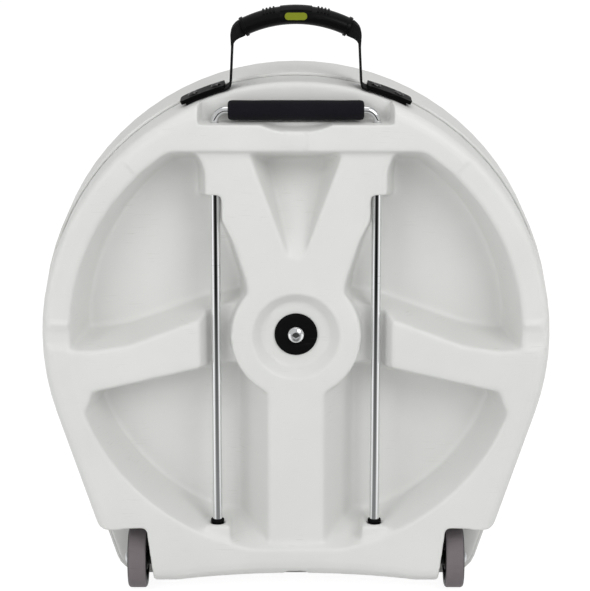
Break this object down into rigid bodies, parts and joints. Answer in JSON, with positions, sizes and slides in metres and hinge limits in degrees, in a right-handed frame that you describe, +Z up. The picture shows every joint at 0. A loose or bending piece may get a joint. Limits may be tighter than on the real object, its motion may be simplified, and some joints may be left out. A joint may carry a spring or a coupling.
{
  "type": "wheeled cymbal case",
  "caption": "Round hard case for cymbals with a flat foot, wheels, a pull-up handle in a moulded back recess, a carry handle and a lift-off lid.",
  "frame": {"origin": "on the ground under the middle of the closed case", "axes": "+Z up, -Y is the back with the wheels and the pull handle, +Y is the lid's front, +X is to the right seen from the back"},
  "size_m": [0.6286, 0.2, 0.7342],
  "materials": {
    "shell_plastic": "white moulded plastic, fine satin",
    "lining_foam": "charcoal foam",
    "grip_foam": "black foam rubber",
    "chrome": "polished",
    "steel": "zinc plated",
    "black_rubber": "matt",
    "black_plastic": "satin",
    "felt": "grey felt",
    "wheel_tread": "warm grey",
    "webbing": "black woven strap",
    "badge_plastic": "olive green, plain"
  },
  "bodies": {
    "case": {"base_shell": "shell_plastic", "base_floor_pad": "lining_foam", "centre_bolt": "chrome", "outer_washer": "black_rubber", "inner_washer": "steel", "bolt_lock_nut": "steel", "support_sleeve": "black_plastic", "lower_cushion": "felt", "guide_tube_left": "chrome", "guide_tube_right": "chrome", "tube_socket_left": "black_rubber", "tube_socket_right": "black_rubber", "bearing_spacer_left": "steel", "bearing_spacer_right": "steel", "axle_bolt_left": "steel", "axle_bolt_right": "steel", "axle_spacer_left": "black_plastic", "axle_spacer_right": "black_plastic", "axle_nut_left": "steel", "axle_nut_right": "steel", "carry_webbing": "webbing", "carry_grip": "black_rubber", "carry_grip_badge": "badge_plastic", "carry_end_plate_left": "black_plastic", "carry_end_plate_right": "black_plastic", "carry_rivet_left_1": "steel", "carry_rivet_left_2": "steel", "carry_rivet_right_1": "steel", "carry_rivet_right_2": "steel", "base_strap_left": "webbing", "base_strap_right": "webbing", "buckle_prongs_left": "black_plastic", "buckle_prongs_right": "black_plastic", "base_strap_rivet_left": "steel", "base_strap_rivet_right": "steel"},
    "pull_handle": {"pull_handle_rod": "chrome", "pull_handle_grip": "grip_foam", "rod_end_guide_left": "black_plastic", "rod_end_guide_right": "black_plastic"},
    "wheel_left": {"wheel_tyre_left": "wheel_tread", "wheel_hub_left": "black_plastic", "outer_bearing_left": "steel", "inner_bearing_left": "steel"},
    "wheel_right": {"wheel_tyre_right": "wheel_tread", "wheel_hub_right": "black_plastic", "outer_bearing_right": "steel", "inner_bearing_right": "steel"},
    "lid": {"lid_shell": "shell_plastic", "lid_pad": "lining_foam", "lid_strap_left": "webbing", "lid_strap_right": "webbing", "buckle_socket_left": "black_plastic", "buckle_socket_right": "black_plastic", "lid_strap_rivet_left": "steel", "lid_strap_rivet_right": "steel"},
    "clamp": {"upper_cushion": "felt", "clamp_washer": "steel"},
    "wing_nut": {"wing_nut": "chrome"}
  },
  "joints": [
    {"name": "pull_handle_slide", "type": "slide", "parent": "case", "child": "pull_handle", "axis": [0, 0, 1], "range_m": [0, 0.4]},
    {"name": "wheel_left_spin", "type": "hinge", "parent": "case", "child": "wheel_left", "pos_m": [-0.199, -0.06, 0.038], "axis": [1, 0, 0], "continuous": true},
    {"name": "wheel_right_spin", "type": "hinge", "parent": "case", "child": "wheel_right", "pos_m": [0.199, -0.06, 0.038], "axis": [1, 0, 0], "continuous": true},
    {"name": "lid_pull_off", "type": "slide", "parent": "case", "child": "lid", "axis": [0, 1, 0], "range_m": [0, 0.15]},
    {"name": "clamp_travel", "type": "slide", "parent": "case", "child": "clamp", "axis": [0, 1, 0], "range_m": [0, 0.0351]},
    {"name": "wing_nut_turn", "type": "hinge", "parent": "clamp", "child": "wing_nut", "pos_m": [0, 0.018, 0.334], "axis": [0, 1, 0], "range_deg": [0, 7200]}
  ],
  "couplings": [
    {"joint": "clamp_travel", "follows": "wing_nut_turn", "m_per_rad": 0.00027852}
  ]
}
